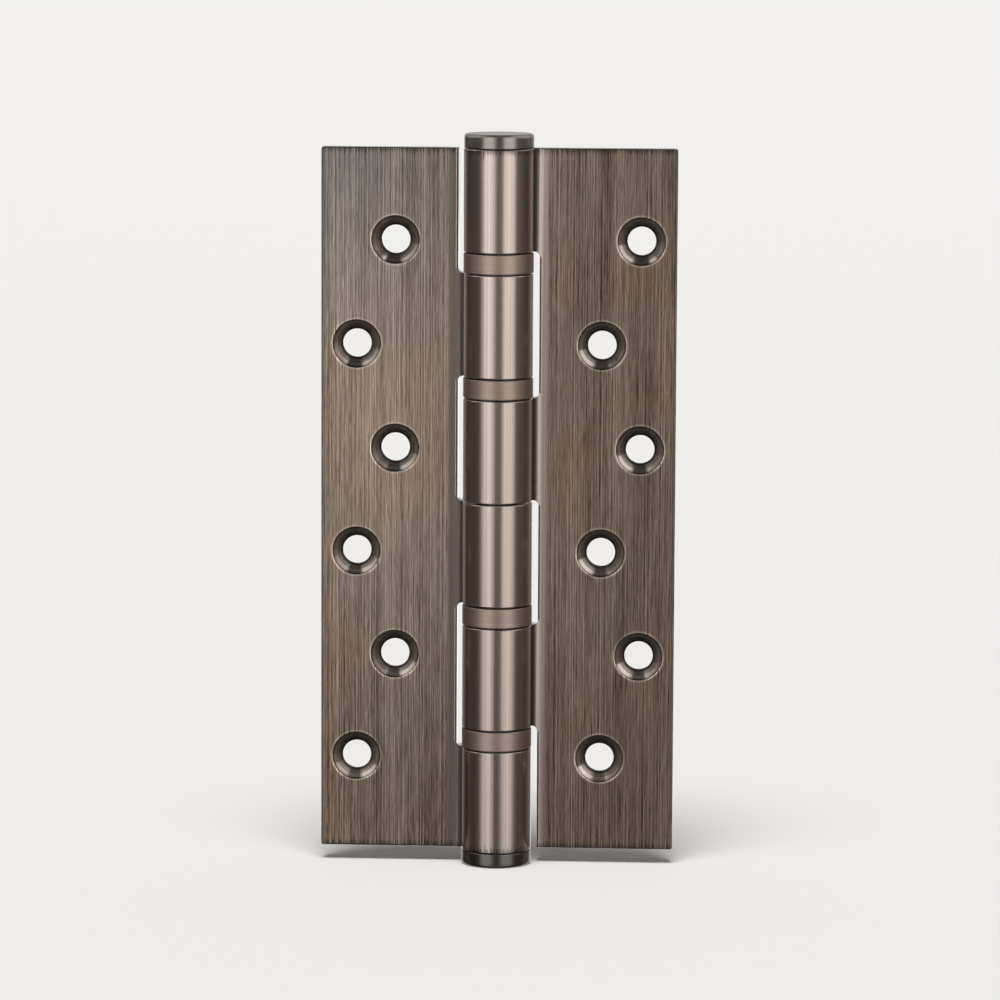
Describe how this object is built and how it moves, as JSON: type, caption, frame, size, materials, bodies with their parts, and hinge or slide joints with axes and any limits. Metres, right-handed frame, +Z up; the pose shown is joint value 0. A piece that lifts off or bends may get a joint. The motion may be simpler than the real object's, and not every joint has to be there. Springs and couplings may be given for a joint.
{
  "type": "ball bearing butt hinge",
  "caption": "Butt hinge opened flat: rolled knuckles on a headed pin, ball thrust bearings between them, leaves with staggered countersunk screw holes.",
  "frame": {"origin": "on the pin's axis, half way up", "axes": "+Z up the pin towards its head, +X towards the leaf with the top knuckle, +Y into the surface behind the leaves; countersinks face -Y"},
  "size_m": [0.102, 0.02, 0.2114],
  "materials": {
    "leaf_bronze": "brushed, antique bronze plate",
    "bearing_band": "turned, antique bronze plate",
    "head_bronze": "satin, dark bronze plate",
    "bearing_steel": "polished",
    "cage_brass": "stamped"
  },
  "bodies": {
    "frame_leaf": {"left_leaf": "leaf_bronze", "bottom_plug": "head_bronze", "bearing_1_lower_race": "bearing_steel", "bearing_1_case": "bearing_band", "bearing_2_upper_race": "bearing_steel", "bearing_3_upper_race": "bearing_steel", "bearing_4_lower_race": "bearing_steel", "bearing_4_case": "bearing_band"},
    "door_leaf": {"right_leaf": "leaf_bronze", "hinge_pin": "head_bronze", "bearing_1_upper_race": "bearing_steel", "bearing_2_lower_race": "bearing_steel", "bearing_2_case": "bearing_band", "bearing_3_lower_race": "bearing_steel", "bearing_3_case": "bearing_band", "bearing_4_upper_race": "bearing_steel"},
    "ball_ring_1": {"bearing_1_cage": "cage_brass", "bearing_1_balls": "bearing_steel"},
    "ball_ring_2": {"bearing_2_cage": "cage_brass", "bearing_2_balls": "bearing_steel"},
    "ball_ring_3": {"bearing_3_cage": "cage_brass", "bearing_3_balls": "bearing_steel"},
    "ball_ring_4": {"bearing_4_cage": "cage_brass", "bearing_4_balls": "bearing_steel"}
  },
  "joints": [
    {"name": "leaf_swing", "type": "hinge", "parent": "frame_leaf", "child": "door_leaf", "pos_m": [0, 0, 0], "axis": [0, 0, -1], "range_deg": [-90, 180]},
    {"name": "ball_ring_1_roll", "type": "hinge", "parent": "frame_leaf", "child": "ball_ring_1", "pos_m": [0, 0, 0], "axis": [0, 0, -1], "range_deg": [-45, 90]},
    {"name": "ball_ring_2_roll", "type": "hinge", "parent": "frame_leaf", "child": "ball_ring_2", "pos_m": [0, 0, 0], "axis": [0, 0, -1], "range_deg": [-45, 90]},
    {"name": "ball_ring_3_roll", "type": "hinge", "parent": "frame_leaf", "child": "ball_ring_3", "pos_m": [0, 0, 0], "axis": [0, 0, -1], "range_deg": [-45, 90]},
    {"name": "ball_ring_4_roll", "type": "hinge", "parent": "frame_leaf", "child": "ball_ring_4", "pos_m": [0, 0, 0], "axis": [0, 0, -1], "range_deg": [-45, 90]}
  ],
  "couplings": [
    {"joint": "ball_ring_1_roll", "follows": "leaf_swing", "ratio": 0.5},
    {"joint": "ball_ring_2_roll", "follows": "leaf_swing", "ratio": 0.5},
    {"joint": "ball_ring_3_roll", "follows": "leaf_swing", "ratio": 0.5},
    {"joint": "ball_ring_4_roll", "follows": "leaf_swing", "ratio": 0.5}
  ]
}
